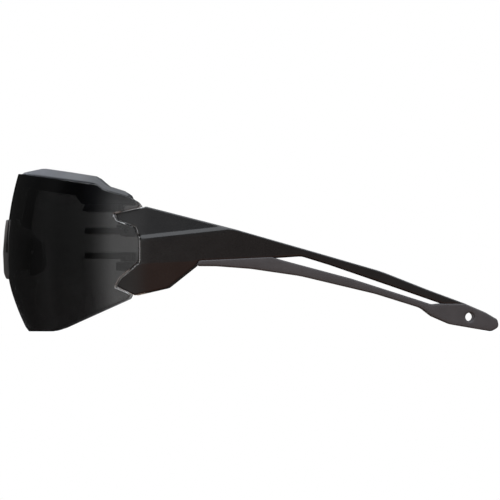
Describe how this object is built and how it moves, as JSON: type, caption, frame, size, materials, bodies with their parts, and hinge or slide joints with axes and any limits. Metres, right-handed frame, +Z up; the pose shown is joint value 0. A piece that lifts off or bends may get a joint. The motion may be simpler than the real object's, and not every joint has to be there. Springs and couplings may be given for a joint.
{
  "type": "safety glasses",
  "caption": "Wrap-around safety glasses with a one-piece smoke lens, brow bar, adjustable nose pads and forked folding temples.",
  "frame": {"origin": "middle of the bottom face of the bounding box: under the middle of the glasses, on the surface that the lens and the temple tips rest on", "axes": "+X to the wearer's left, +Y towards the temple tips, +Z up"},
  "size_m": [0.136, 0.1648, 0.0541],
  "materials": {
    "lens": "polished smoke polycarbonate",
    "frame": "satin nylon",
    "arm": "satin nylon",
    "grip": "soft matt elastomer",
    "soft": "soft matt elastomer",
    "metal": "plain steel"
  },
  "bodies": {
    "front": {"lens": "lens", "brow_bar": "frame", "brow_guard": "soft", "nose_bridge": "frame", "nose_pad_left": "soft", "nose_pad_right": "soft", "nose_wire_left": "metal", "nose_wire_right": "metal", "brow_clip_left": "frame", "brow_clip_right": "frame", "upper_hinge_lug_left": "frame", "upper_hinge_lug_right": "frame", "lower_hinge_lug_left": "frame", "lower_hinge_lug_right": "frame", "upper_hinge_pin_left": "metal", "upper_hinge_pin_right": "metal", "lower_hinge_pin_left": "metal", "lower_hinge_pin_right": "metal"},
    "left_temple": {"temple_arm_left": "arm", "temple_grip_left": "grip"},
    "right_temple": {"temple_arm_right": "arm", "temple_grip_right": "grip"}
  },
  "joints": [
    {"name": "left_temple_fold", "type": "hinge", "parent": "front", "child": "left_temple", "pos_m": [0.06, -0.0408, 0.0295], "axis": [0, 0, 1], "range_deg": [0, 89]},
    {"name": "right_temple_fold", "type": "hinge", "parent": "front", "child": "right_temple", "pos_m": [-0.06, -0.0408, 0.0295], "axis": [0, 0, -1], "range_deg": [0, 84]}
  ]
}
